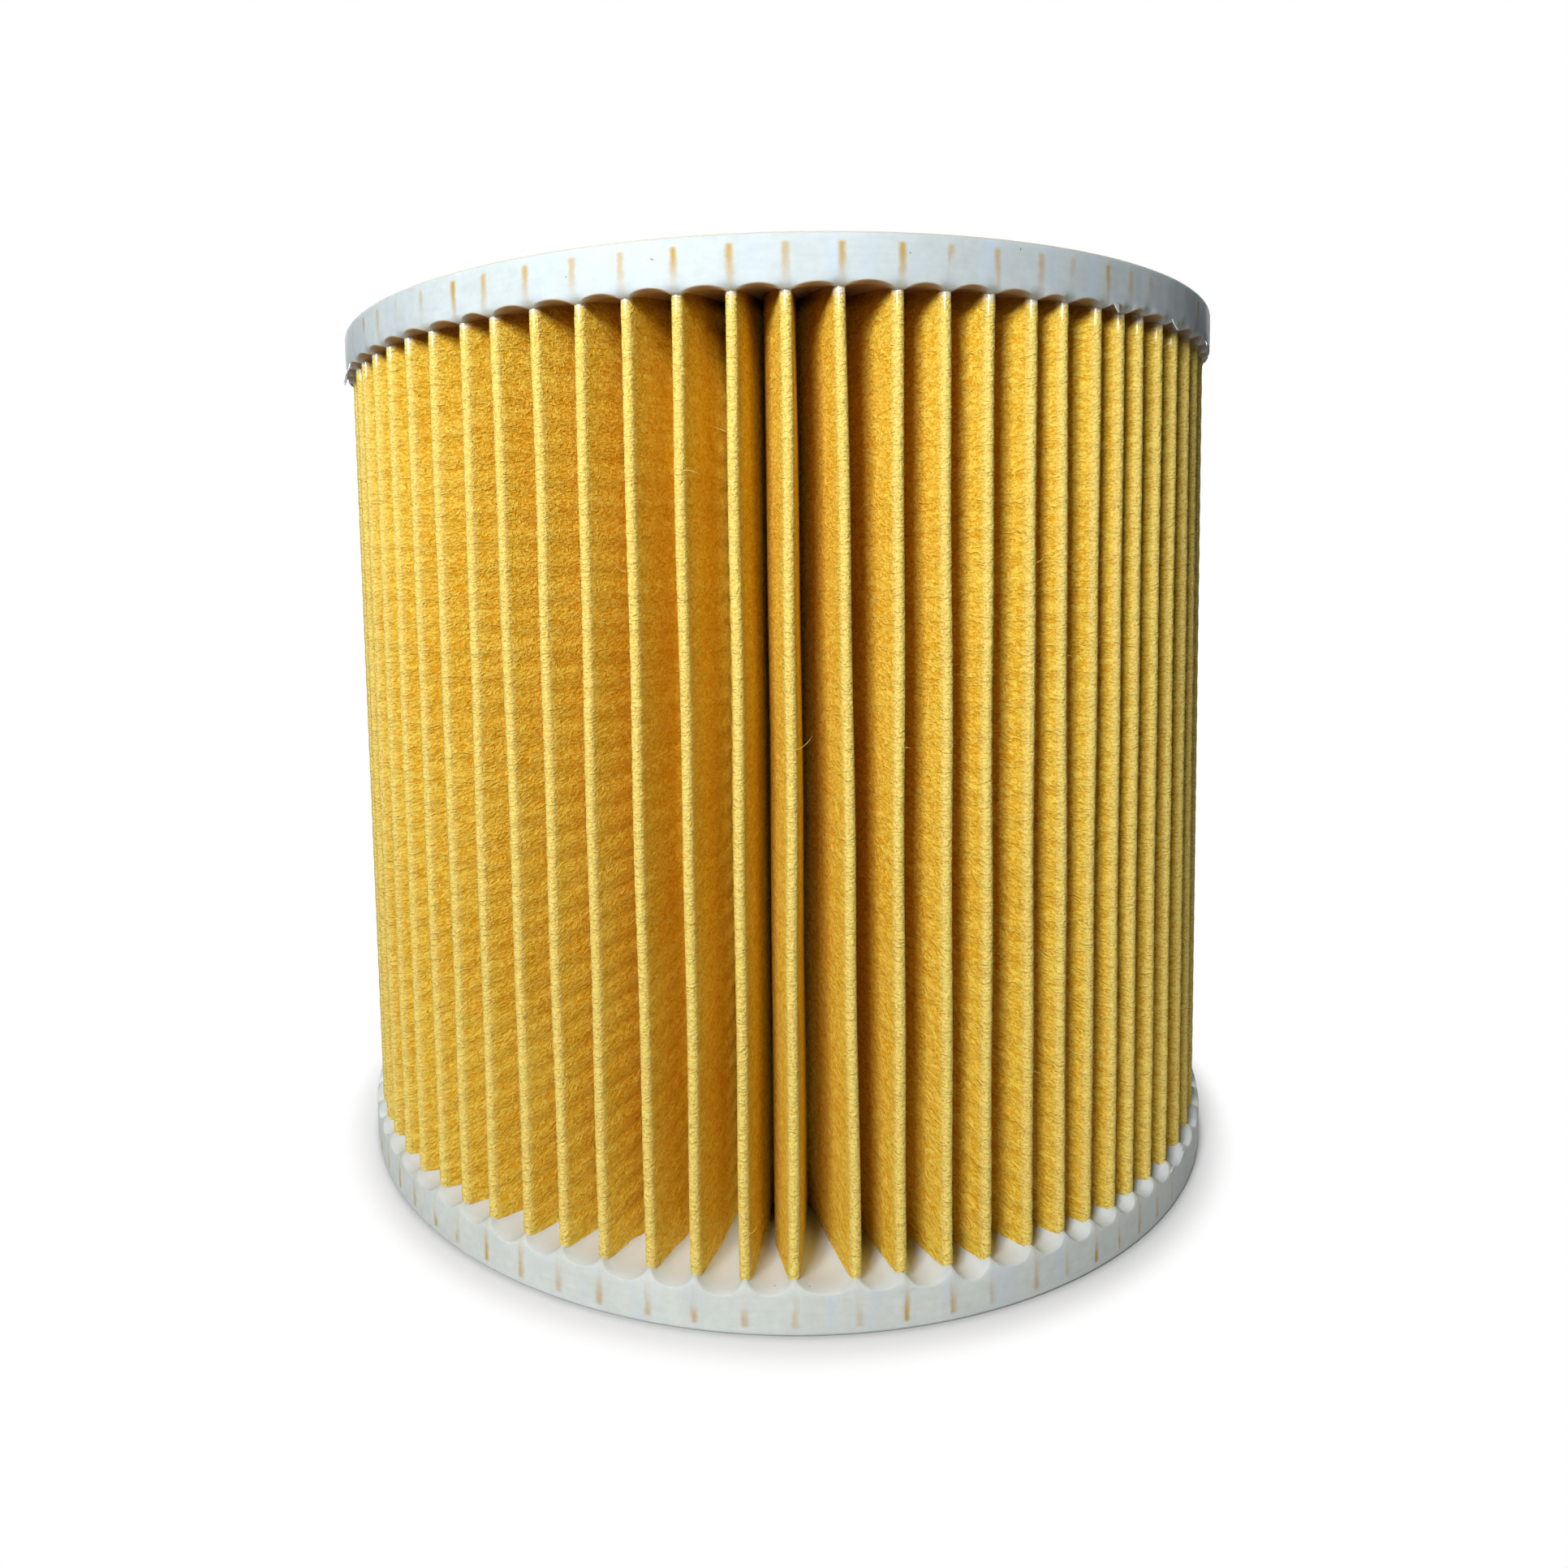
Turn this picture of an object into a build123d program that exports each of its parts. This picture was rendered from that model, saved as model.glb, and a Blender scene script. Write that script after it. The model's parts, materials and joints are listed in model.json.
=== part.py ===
from build123d import *
import os
from math import asin, atan2, cos, degrees, pi, radians, sin

# Vacuum cleaner cartridge filter: a ring of pleated paper round a lattice core,
# cast at both ends into open end caps. Millimetres, axis on +Z, standing on z = 0.

# Sizes from the axis outwards
bore_diameter = 73.0            # clear hole through both end caps
lip_width = 1.6                 # resin lip between the bore and the core
core_wall = 1.6                 # wall of the lattice core
core_clearance = 0.4            # between the core and the inner folds of the paper
pleat_depth = 17.2              # from the inner folds to the outer folds
cap_cover = 0.7                 # how far the end caps stand outside the outer folds

# Sizes along the axis
overall_height = 104.0
end_cover = 1.0                 # resin under the ends of the paper and the core
lip_height = 3.6                # height of the lip round the bore
upper_rim_height = 5.0          # upper cap, from its end face to the crest at a fold
upper_trough_depth = 0.4        # dip of its resin between two folds
lower_rim_height = 5.4
lower_trough_depth = 1.0

# Pleated paper
pleat_count = 76
paper_thickness = 0.55
fold_flats = 4                  # flats that turn the paper round each fold

# End caps
crest_width = 0.6               # flat left on the rim at each outer fold
trough_flats = 4                # flats across the hollow of each resin trough
cap_edge_radius = 0.5           # rounding of the end face at the rim and at the bore

# Lattice core
core_bar_count = 16
core_bar_width = 4.0
window_row_count = 6
core_ring_height = 3.0          # rings between two rows of windows
core_end_height = 9.0           # plain band at each end

# Radii and angles that follow from those sizes
bore_radius = bore_diameter / 2
core_inner_radius = bore_radius + lip_width
core_middle_radius = core_inner_radius + core_wall / 2
core_outer_radius = core_inner_radius + core_wall
valley_radius = core_outer_radius + core_clearance
tip_radius = valley_radius + pleat_depth
cap_radius = tip_radius + cap_cover
pitch_angle = 360 / pleat_count
embedded_length = overall_height - 2 * end_cover

# The paper is folded hard on itself: a sharp crease inside each fold, and round the
# crease a bend of one paper thickness outside.
tip_crease = Vector(tip_radius - paper_thickness, 0, 0)
valley_crease = Vector(valley_radius + paper_thickness, 0, 0).rotate(Axis.Z, pitch_angle / 2)
flank = valley_crease - tip_crease
flank_lean = asin(paper_thickness / flank.length)
fold_angle = degrees(atan2(flank.Y, flank.X) + flank_lean) - 90


def bend(crease, outward_angle):
    """Points of the bend round a crease, from one flank of the paper to the other."""
    step = 2 * fold_angle / fold_flats
    turns = [outward_angle - fold_angle + flat * step for flat in range(fold_flats + 1)]
    return [crease + Vector(paper_thickness, 0, 0).rotate(Axis.Z, turn) for turn in turns]


# Section of the folded sheet: what lies inside its outer face less what lies inside its inner
# face. The outer face bends at the tips, and the inner face, turned half a pitch, at the valleys.
outer_face = []
inner_face = []
for pleat in range(pleat_count):
    turn = pleat * pitch_angle
    outer_pleat = bend(tip_crease, 0) + [valley_crease]
    inner_pleat = [tip_crease] + bend(valley_crease, pitch_angle / 2 + 180)[::-1]
    outer_face += [point.rotate(Axis.Z, turn) for point in outer_pleat]
    inner_face += [point.rotate(Axis.Z, turn) for point in inner_pleat]

with BuildSketch() as pleat_section:
    Polygon(*outer_face, align=None)
    Polygon(*inner_face, align=None, mode=Mode.SUBTRACT)

# Plan of the space between two outer folds, open outwards, with the inner fold between them on +X
outer_fold = [Vector(2 * cap_radius, 0, 0), Vector(tip_radius, 0, 0), bend(tip_crease, 0)[-1]]
right_side = [point.rotate(Axis.Z, -pitch_angle / 2) for point in outer_fold]
left_side = [Vector(point.X, -point.Y, 0) for point in reversed(right_side)]
fold_space = right_side + [Vector(valley_radius + paper_thickness, 0, 0)] + left_side

# Pleated paper, standing with both ends in the resin of the caps
with BuildPart() as pleated_paper:
    with BuildSketch(Plane.XY.offset(end_cover)):
        add(pleat_section.sketch)
    extrude(amount=embedded_length)

# Lattice core: a moulded tube with rows of windows
core_window_width = 2 * pi * core_middle_radius / core_bar_count - core_bar_width
ring_space = (window_row_count - 1) * core_ring_height + 2 * core_end_height
core_window_height = (embedded_length - ring_space) / window_row_count
first_window = end_cover + core_end_height + core_window_height / 2

with BuildPart() as inner_core:
    with BuildSketch(Plane.XY.offset(end_cover)):
        Circle(core_outer_radius)
        Circle(core_inner_radius, mode=Mode.SUBTRACT)
    extrude(amount=embedded_length)
    for row in range(window_row_count):
        with Locations((0, 0, first_window + row * (core_window_height + core_ring_height))):
            with PolarLocations(core_middle_radius, core_bar_count):
                Box(2 * core_wall, core_window_width, core_window_height, mode=Mode.SUBTRACT)


def cast_end_cap(rim_height, trough_depth):
    """An end cap at the foot of the paper, with a resin trough between each two folds."""
    half_chord = cap_radius * sin(radians(pitch_angle / 2)) - crest_width / 2
    trough_radius = (half_chord**2 + trough_depth**2) / (2 * trough_depth)
    half_angle = 2 * atan2(trough_depth, half_chord)
    hollow = []
    for flat in range(trough_flats + 1):
        angle = half_angle * (2 * flat / trough_flats - 1)
        height = rim_height - trough_depth + trough_radius * (1 - cos(angle))
        hollow.append((trough_radius * sin(angle), height))
    # One trough along +X, no wider than the space between two outer folds
    with BuildPart() as trough:
        with BuildSketch(Plane.YZ):
            Polygon(*hollow, (half_chord, 2 * rim_height), (-half_chord, 2 * rim_height), align=None)
        extrude(amount=2 * cap_radius)
        with BuildSketch():
            Polygon(*fold_space, align=None)
        extrude(amount=2 * rim_height, mode=Mode.INTERSECT)
    with BuildPart() as cap:
        with BuildSketch(Plane.XZ):
            with BuildLine():
                Polyline(
                    (bore_radius, 0),
                    (cap_radius, 0),
                    (cap_radius, rim_height),
                    (core_middle_radius, rim_height),
                    (core_middle_radius, lip_height),
                    (bore_radius, lip_height),
                    close=True,
                )
            profile = make_face()
            end_corners = profile.vertices().group_by(Axis.Y)[0]
            fillet(end_corners, cap_edge_radius)
        revolve(axis=Axis.Z)
        # Troughs of the resin surface between the outer folds
        with PolarLocations(0, pleat_count, start_angle=pitch_angle / 2):
            add(trough.part, mode=Mode.SUBTRACT)
        # Groove that the core stands in, and the slot that the paper stands in
        with BuildSketch(Plane.XY.offset(end_cover)):
            Circle(core_outer_radius)
            Circle(core_inner_radius, mode=Mode.SUBTRACT)
            add(pleat_section.sketch)
        extrude(amount=rim_height, mode=Mode.SUBTRACT)
    return cap.part


# Lower end cap
with BuildPart() as lower_end_cap:
    add(cast_end_cap(lower_rim_height, lower_trough_depth))

# Upper end cap, cast the same way on the other end
with BuildPart() as upper_end_cap:
    mirror(
        cast_end_cap(upper_rim_height, upper_trough_depth),
        about=Plane.XY.offset(overall_height / 2),
    )

os.makedirs("parts", exist_ok=True)
pleated_paper.part.label = "pleated_paper"
inner_core.part.label = "inner_core"
lower_end_cap.part.label = "lower_end_cap"
upper_end_cap.part.label = "upper_end_cap"
export_step(pleated_paper.part, "parts/pleated_paper.step")
export_step(inner_core.part, "parts/inner_core.step")
export_step(lower_end_cap.part, "parts/lower_end_cap.step")
export_step(upper_end_cap.part, "parts/upper_end_cap.step")
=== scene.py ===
"""Looks of a pleated cartridge filter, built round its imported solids. Metres, axis on +Z."""

import json
import math

import bpy
import numpy as np
from bpy.props import FloatProperty, FloatVectorProperty, IntProperty, PointerProperty
from mathutils import Matrix, Vector


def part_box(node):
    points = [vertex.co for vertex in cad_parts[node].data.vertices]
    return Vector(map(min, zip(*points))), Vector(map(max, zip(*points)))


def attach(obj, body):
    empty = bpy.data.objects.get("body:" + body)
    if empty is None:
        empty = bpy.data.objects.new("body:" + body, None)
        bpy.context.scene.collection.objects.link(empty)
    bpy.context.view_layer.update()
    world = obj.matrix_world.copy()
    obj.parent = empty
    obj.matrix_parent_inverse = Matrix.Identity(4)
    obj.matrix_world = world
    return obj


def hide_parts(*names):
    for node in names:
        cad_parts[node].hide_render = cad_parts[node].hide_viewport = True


bl_info = {
    "name": "Cartridge filter",
    "version": (1, 0, 0),
    "blender": (4, 5, 0),
    "location": "View3D > Sidebar > Filter",
    "description": "Dresses a pleated cartridge filter in paper, cast resin and moulded plastic",
    "category": "Object",
}

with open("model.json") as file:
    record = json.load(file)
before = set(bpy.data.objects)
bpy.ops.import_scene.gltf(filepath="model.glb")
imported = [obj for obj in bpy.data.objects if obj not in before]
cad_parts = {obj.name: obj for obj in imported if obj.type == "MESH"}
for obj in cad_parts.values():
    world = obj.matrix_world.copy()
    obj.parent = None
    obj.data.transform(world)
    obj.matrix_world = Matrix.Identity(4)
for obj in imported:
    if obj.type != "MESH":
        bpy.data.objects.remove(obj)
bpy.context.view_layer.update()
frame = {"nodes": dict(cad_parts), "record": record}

MM = 0.001
PHOTO_PIXELS = 1932
SENSOR_WIDTH = 36.0
WHITE = (1.0, 1.0, 1.0, 1.0)
# Flat faces round an outer fold of the paper
FOLD_FLATS = 4
# Rounding of the caps' end faces in millimetres, as the solids have it
CAP_EDGE = 0.5

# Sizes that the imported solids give
PAPER_LOW, PAPER_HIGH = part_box("pleated_paper")
LOWER_CAP_LOW, LOWER_CAP_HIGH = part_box("lower_end_cap")
UPPER_CAP_LOW, UPPER_CAP_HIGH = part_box("upper_end_cap")
MOUNTS = {mount["name"]: mount for mount in frame["record"]["mounts"]}
BORE = MOUNTS["upper_bore"]["dims"]
TOTAL_HEIGHT = UPPER_CAP_HIGH.z
TIP_RADIUS = PAPER_HIGH.x
CAP_RADIUS = LOWER_CAP_HIGH.x
CORE_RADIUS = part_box("inner_core")[1].x
BORE_RADIUS = BORE["r_mm"] * MM
LIP_HEIGHT = (BORE["length_mm"] + CAP_EDGE) * MM


def paint(red, green, blue):
    """Linear colour of a paint given as it looks on a screen, each part from 0 to 255."""
    parts = []
    for part in (red, green, blue):
        share = part / 255
        parts.append(share / 12.92 if share <= 0.04045 else ((share + 0.055) / 1.055) ** 2.4)
    return tuple(parts)


def length(label, description, millimetres):
    """A length setting, given in millimetres."""
    size = millimetres * MM
    return FloatProperty(name=label, description=description, default=size, unit="LENGTH", precision=5)


def angle(label, description, degrees):
    """An angle setting, given in degrees."""
    return FloatProperty(name=label, description=description, default=math.radians(degrees), subtype="ANGLE")


def power(label, description, watts):
    """A power setting, given in watts."""
    return FloatProperty(name=label, description=description, default=watts, unit="POWER")


def fraction(label, description, value):
    """A setting from 0 to 1."""
    return FloatProperty(name=label, description=description, default=value, subtype="FACTOR", min=0, max=1)


def colour(label, description, red, green, blue):
    """A colour setting, given as it looks on a screen."""
    return FloatVectorProperty(
        name=label, description=description, default=paint(red, green, blue), subtype="COLOR", min=0, max=1
    )


class PaperSettings(bpy.types.PropertyGroup):
    """Pleated filter paper."""

    pleats: IntProperty(name="Pleats", description="Outer folds round the cartridge", default=76, min=8)
    seed: IntProperty(name="Seed", description="Start of the uneven folding", default=5)
    thickness: length("Thickness", "Thickness of the paper", 0.55)
    clearance: length("Clearance", "Gap between the core and the inner folds", 0.4)
    spread: angle("Spread", "How far the folds drift apart right of the front", 2.5)
    spread_place: angle("Spread place", "Where the folds have drifted most", 21.4)
    spread_width: angle("Spread width", "How wide that drift is", 32.3)
    crowding: angle("Crowding", "How far the folds crowd back further right", 2.4)
    crowding_place: angle("Crowding place", "Where the folds crowd most", 51.3)
    crowding_width: angle("Crowding width", "How wide the crowding is", 17.2)
    front_gap: angle("Front gap", "How much further apart the two folds at the front stand", 0.65)
    uneven: angle("Unevenness", "Chance shift of each fold", 0.14)
    lean: angle("Lean", "How far a fold leans from the lower cap to the upper", 0.45)
    waver: length("Waver", "Wander of a fold along its height", 0.05)
    bow: length("Bow", "Bulge of a flank between its folds", 0.16)
    front_bulge: length("Front bulge", "Bulge of the flank left of the fold at the front", 0.55)
    corrugation_pitch: length("Corrugation pitch", "Height of one wave pressed into the paper", 2.85)
    corrugation_depth: length("Corrugation depth", "Depth of those waves to each side", 0.2)
    smooth_front: angle("Smooth front", "How far round the front the waves are pressed flat", 12)
    sheet_colour: colour("Paper", "Main colour of the paper", 255, 227, 92)
    grain_colour: colour("Grain", "Colour between the fibres", 232, 170, 14)
    # Painted highlight: the outer folds are paler where their convex tips catch the light
    fold_colour: colour("Fold", "Colour of the rubbed outer folds", 252, 236, 144)
    # Mostly painted shade under the upper cap, partly a resin stain
    stain_and_shade_colour: colour("Stain", "Colour of the paper where the resin has crept in", 150, 96, 34)
    loose_fibres: IntProperty(name="Loose fibres", description="Hairs that stand off the folds", default=90)


class CapSettings(bpy.types.PropertyGroup):
    """Cast resin end caps."""

    seed: IntProperty(name="Seed", description="Start of the uneven casting", default=11)
    lower_trough: length("Lower trough", "Dip of the lower resin between two folds", 1.05)
    upper_trough: length("Upper trough", "Dip of the upper resin between two folds", 0.4)
    lower_tongue: length("Lower tongue", "Width of the lower resin tongue at a fold", 0.45)
    upper_tongue: length("Upper tongue", "Width of the upper resin tongue at a fold", 1.0)
    lower_drop: length("Lower drop", "How much thinner the lower resin is at the inner folds", 2.4)
    upper_drop: length("Upper drop", "How much thinner the upper resin is at the inner folds", 3.0)
    edge_radius: length("Edge radius", "Rounding of the end face", CAP_EDGE)
    lower_roughness: fraction("Lower roughness", "Roughness of the lower resin", 0.5)
    upper_roughness: fraction("Upper roughness", "Roughness of the upper resin", 0.55)
    lower_colour: colour("Lower resin", "Colour of the lower cap", 227, 234, 230)
    # Painted shade: the upper cap's resin is set darker than the lower's, against the brighter light that
    # falls on it
    upper_colour: colour("Upper resin", "Colour of the upper cap", 216, 227, 229)
    # Painted light: lighter and bluer than the lower resin, against the shade and the paper's orange light
    # between the folds
    lower_trough_colour: colour("Lower trough", "Colour of the lower resin between the folds", 236, 247, 255)
    # Painted shade: the underside of the upper cap between the folds, dark and brown with the paper's
    # reflected light
    upper_trough_colour: colour("Upper trough", "Colour of the upper resin between the folds", 176, 146, 112)
    # Painted shadow: the dark contact line where the lower cap meets the floor
    lower_edge_colour: colour("Lower edge", "Colour of the rounded edge at the foot", 128, 124, 118)
    upper_edge_colour: colour("Upper edge", "Colour of the rounded edge on top", 206, 196, 172)
    mark_colour: colour("Fold mark", "Colour of the paper showing through the resin", 200, 162, 72)
    # Painted reflection: cool bluish bands like those the highlight on the resin shows
    reflection_band_colour: colour("Smear", "Colour of the cooler smears in the resin", 206, 222, 242)
    speck_colour: colour("Speck", "Colour of the specks in the resin", 96, 92, 84)


class CoreSettings(bpy.types.PropertyGroup):
    """Moulded lattice core."""

    plastic_colour: colour("Plastic", "Colour of the core", 34, 34, 36)


class StageSettings(bpy.types.PropertyGroup):
    """Floor, lamps and sky."""

    floor_size: length("Floor", "Side of the floor", 6000)
    key_power: power("Key lamp", "Power of the main lamp", 0.45)
    key_side: angle("Key lamp side", "Angle of the main lamp from the front towards +X", -16)
    key_rise: angle("Key lamp rise", "Angle of the main lamp above the middle of the object", 25)
    key_size: length("Key lamp size", "Side of the main lamp", 60)
    key_distance: length("Key lamp distance", "From the object's middle to the main lamp", 250)
    back_power: power("Back lamp", "Power of each lamp behind", 1.35)
    back_side: angle("Back lamp side", "Angle of each lamp behind from the front", 150)
    back_rise: angle("Back lamp rise", "Angle of the lamps behind above the middle of the object", 27)
    back_size: length("Back lamp size", "Side of each lamp behind", 220)
    back_distance: length("Back lamp distance", "From the object's middle to the lamps behind", 500)
    top_power: power("Top lamp", "Power of the lamp above", 0.62)
    top_side: angle("Top lamp side", "Angle of the lamp above from the front towards +X", 180)
    top_rise: angle("Top lamp rise", "Angle of the lamp above over the middle of the object", 80)
    top_size: length("Top lamp size", "Side of the lamp above", 300)
    top_distance: length("Top lamp distance", "From the object's middle to the lamp above", 500)
    sky_strength: fraction("Sky", "Strength of the even light all round", 0.02)


class FilterSettings(bpy.types.PropertyGroup):
    """All settings of the cartridge filter."""

    paper: PointerProperty(type=PaperSettings)
    caps: PointerProperty(type=CapSettings)
    core: PointerProperty(type=CoreSettings)
    stage: PointerProperty(type=StageSettings)


class Signal:
    """One socket of a material, with sums on it that add Math nodes."""

    def __init__(self, finish, socket):
        self.finish = finish
        self.socket = socket

    def sum_of(self, operation, first, second):
        """The Math node of one operation."""
        return self.finish.node("ShaderNodeMath", {"operation": operation}, {0: first, 1: second})

    def __add__(self, other):
        return self.sum_of("ADD", self, other)

    def __radd__(self, other):
        return self.sum_of("ADD", other, self)

    def __sub__(self, other):
        return self.sum_of("SUBTRACT", self, other)

    def __rsub__(self, other):
        return self.sum_of("SUBTRACT", other, self)

    def __mul__(self, other):
        return self.sum_of("MULTIPLY", self, other)

    def __rmul__(self, other):
        return self.sum_of("MULTIPLY", other, self)

    def sine(self):
        return self.sum_of("SINE", self, 0.0)

    def swing(self, amount):
        """A noise round one half, turned into a swing round nothing."""
        return (self - 0.5) * amount

    def step(self, start, end):
        """Rises smoothly from 0 at start to 1 at end."""
        sockets = {"Value": self, "From Min": start, "From Max": end}
        return self.finish.node("ShaderNodeMapRange", {"interpolation_type": "SMOOTHSTEP"}, sockets)


class Finish:
    """The nodes of a material, or of the sky."""

    def __init__(self, owner):
        owner.use_nodes = True
        self.owner = owner
        self.tree = owner.node_tree
        self.tree.nodes.clear()

    def node(self, kind, settings=None, sockets=None, output=0):
        """Adds a node: its settings first, then the values or links of its sockets."""
        made = self.tree.nodes.new(kind)
        for key, value in (settings or {}).items():
            setattr(made, key, value)
        for key, value in (sockets or {}).items():
            if isinstance(value, Signal):
                self.tree.links.new(value.socket, made.inputs[key])
            else:
                made.inputs[key].default_value = value
        return Signal(self, made.outputs[output]) if made.outputs else None

    def place(self):
        """Place on the surface in the object's own frame, in metres."""
        return self.node("ShaderNodeTexCoord", output="Object")

    def stretched(self, place, along_x, along_y, along_z):
        """The place with each axis scaled, for grain that runs one way."""
        factors = (along_x, along_y, along_z)
        return self.node("ShaderNodeVectorMath", {"operation": "MULTIPLY"}, {0: place, 1: factors})

    def noise(self, place, scale, detail=2.0, roughness=0.5, curl=0.0):
        """Uneven cloud from 0 to 1, with so many lumps to a metre."""
        sockets = {"Vector": place, "Scale": scale, "Detail": detail}
        sockets |= {"Roughness": roughness, "Distortion": curl}
        return self.node("ShaderNodeTexNoise", None, sockets)

    def attribute(self, name):
        """A value that the mesh carries."""
        return self.node("ShaderNodeAttribute", {"attribute_name": name}, None, "Fac")

    def mix(self, first, second, share):
        """Blends two colours."""
        settings = {"data_type": "RGBA", "clamp_factor": True}
        return self.node("ShaderNodeMix", settings, {0: share, 6: solid(first), 7: solid(second)}, 2)

    def bump(self, height, distance, strength=1.0):
        """Normal of a surface that a height raises."""
        sockets = {"Height": height, "Distance": distance, "Strength": strength}
        return self.node("ShaderNodeBump", None, sockets)

    def surface(self, sockets):
        """The main shader, with its output."""
        shader = self.node("ShaderNodeBsdfPrincipled", None, sockets)
        self.node("ShaderNodeOutputMaterial", None, {"Surface": shader})
        return self.owner


def solid(shade):
    """A colour with its alpha, or the link that gives one."""
    if isinstance(shade, Signal):
        return shade
    return (*shade[:3], 1.0)


def dimmed(shade, share):
    """A colour with a share of its light."""
    return [channel * share for channel in shade]


def settings_of(group, part, *keys):
    """The settings of a group whose names start with a part's name."""
    return [getattr(group, f"{part}_{key}") for key in keys]


def rim_height_of(upper):
    """Height of a cap from its end face to the crest of its rim."""
    if upper:
        return UPPER_CAP_HIGH.z - UPPER_CAP_LOW.z
    return LOWER_CAP_HIGH.z - LOWER_CAP_LOW.z


def plan(turn, radius):
    """Plan point, as a complex number, at an angle from the front towards +X."""
    return radius * np.exp(1j * (turn - math.pi / 2))


def even_angles(count):
    """Angles of folds that stand evenly round the ring, the middle one at the front."""
    return (np.arange(count) - count // 2) * math.tau / count


def drift(turns, most, place, width):
    """Shift of the folds round one place of the ring, fading to both sides."""
    return most * np.exp(-(((turns - place) / width) ** 2))


def fold_angles(paper, heights):
    """Angle of every outer fold at each height, as rows of folds."""
    lean_swings = 2
    lean_phase = 2.0
    lean_chance = 0.6
    front_shifts = (-0.45, 0.55)
    front_leans = (-1.2, 1.5)
    waver_counts = (1.3, 3.1)
    random = np.random.default_rng(paper.seed)
    count = paper.pleats
    even = even_angles(count)
    spread = drift(even, paper.spread, paper.spread_place, paper.spread_width)
    crowding = drift(even, paper.crowding, paper.crowding_place, paper.crowding_width)
    settled = even + spread - crowding + random.normal(0, paper.uneven, count)
    # Most folds lean a little; the two at the front stand apart, and further apart at the foot
    lean = paper.lean * np.cos(lean_swings * even + lean_phase)
    lean = lean + random.normal(0, lean_chance * paper.lean, count)
    for step in (0, 1):
        fold = count // 2 + step
        settled[fold] += front_shifts[step] * paper.front_gap
        lean[fold] = front_leans[step] * paper.lean
    share = np.asarray(heights)[:, None] / TOTAL_HEIGHT
    turns = settled + lean * (0.5 - share)
    for waves in waver_counts:
        phase = random.uniform(0, math.tau, count)
        turns = turns + paper.waver / TIP_RADIUS * np.sin(math.tau * waves * share + phase)
    return turns


def bend(crease, clockwise_end, other_end, thickness, flats):
    """Points round a crease, one paper thickness out, from one flank of the paper to the other."""
    to_clockwise = clockwise_end - crease
    to_other = other_end - crease
    start = np.angle(to_clockwise) + math.pi / 2 - np.arcsin(thickness / abs(to_clockwise))
    end = np.angle(to_other) - math.pi / 2 + np.arcsin(thickness / abs(to_other))
    turn = np.angle(np.exp(1j * (end - start)))
    shares = np.linspace(0, 1, flats + 1)
    return crease[..., None] + thickness * np.exp(1j * (start[..., None] + turn[..., None] * shares))


def creases(paper, heights):
    """Plan points of the outer and inner creases at each height, with the angles of the outer folds."""
    tip_depth = 1.2 * paper.thickness
    tips = fold_angles(paper, heights)
    following = np.roll(tips, -1, axis=1)
    following[:, -1] += math.tau
    valleys = (tips + following) / 2
    tip_crease = plan(tips, TIP_RADIUS - tip_depth)
    valley_crease = plan(valleys, CORE_RADIUS + paper.clearance + paper.thickness)
    return tip_crease, valley_crease, tips


def mesh_piece(name, points, faces, point_values, corner_values):
    """A smooth mesh object with the values that its points and its face corners carry."""
    mesh = bpy.data.meshes.new(name)
    mesh.from_pydata(points, [], faces)
    mesh.polygons.foreach_set("use_smooth", np.ones(len(mesh.polygons), bool))
    for domain, group in (("POINT", point_values), ("CORNER", corner_values)):
        for key, values in group.items():
            carried = mesh.attributes.new(key, "FLOAT", domain)
            carried.data.foreach_set("value", np.asarray(values, np.float32).ravel())
    if mesh.validate():
        raise RuntimeError(f"{name} has faces that do not hold")
    mesh.update()
    piece = bpy.data.objects.new(name, mesh)
    bpy.context.scene.collection.objects.link(piece)
    return piece


def loop_faces(rows, columns, first, close_rows, flip):
    """Quads of a grid of points that closes on itself along its columns."""
    row = np.arange(rows if close_rows else rows - 1)[:, None]
    column = np.arange(columns)[None, :]
    next_row = (row + 1) % rows
    next_column = (column + 1) % columns
    corners = [row * columns + column, row * columns + next_column]
    corners += [next_row * columns + next_column, next_row * columns + column]
    if flip:
        corners.reverse()
    return (np.stack(corners, -1).reshape(-1, 4) + first).tolist()


def points_at(plans, heights):
    """Points from plan places and heights."""
    heights = np.broadcast_to(heights, plans.shape)
    return np.stack([plans.real, plans.imag, heights], -1).reshape(-1, 3)


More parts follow.
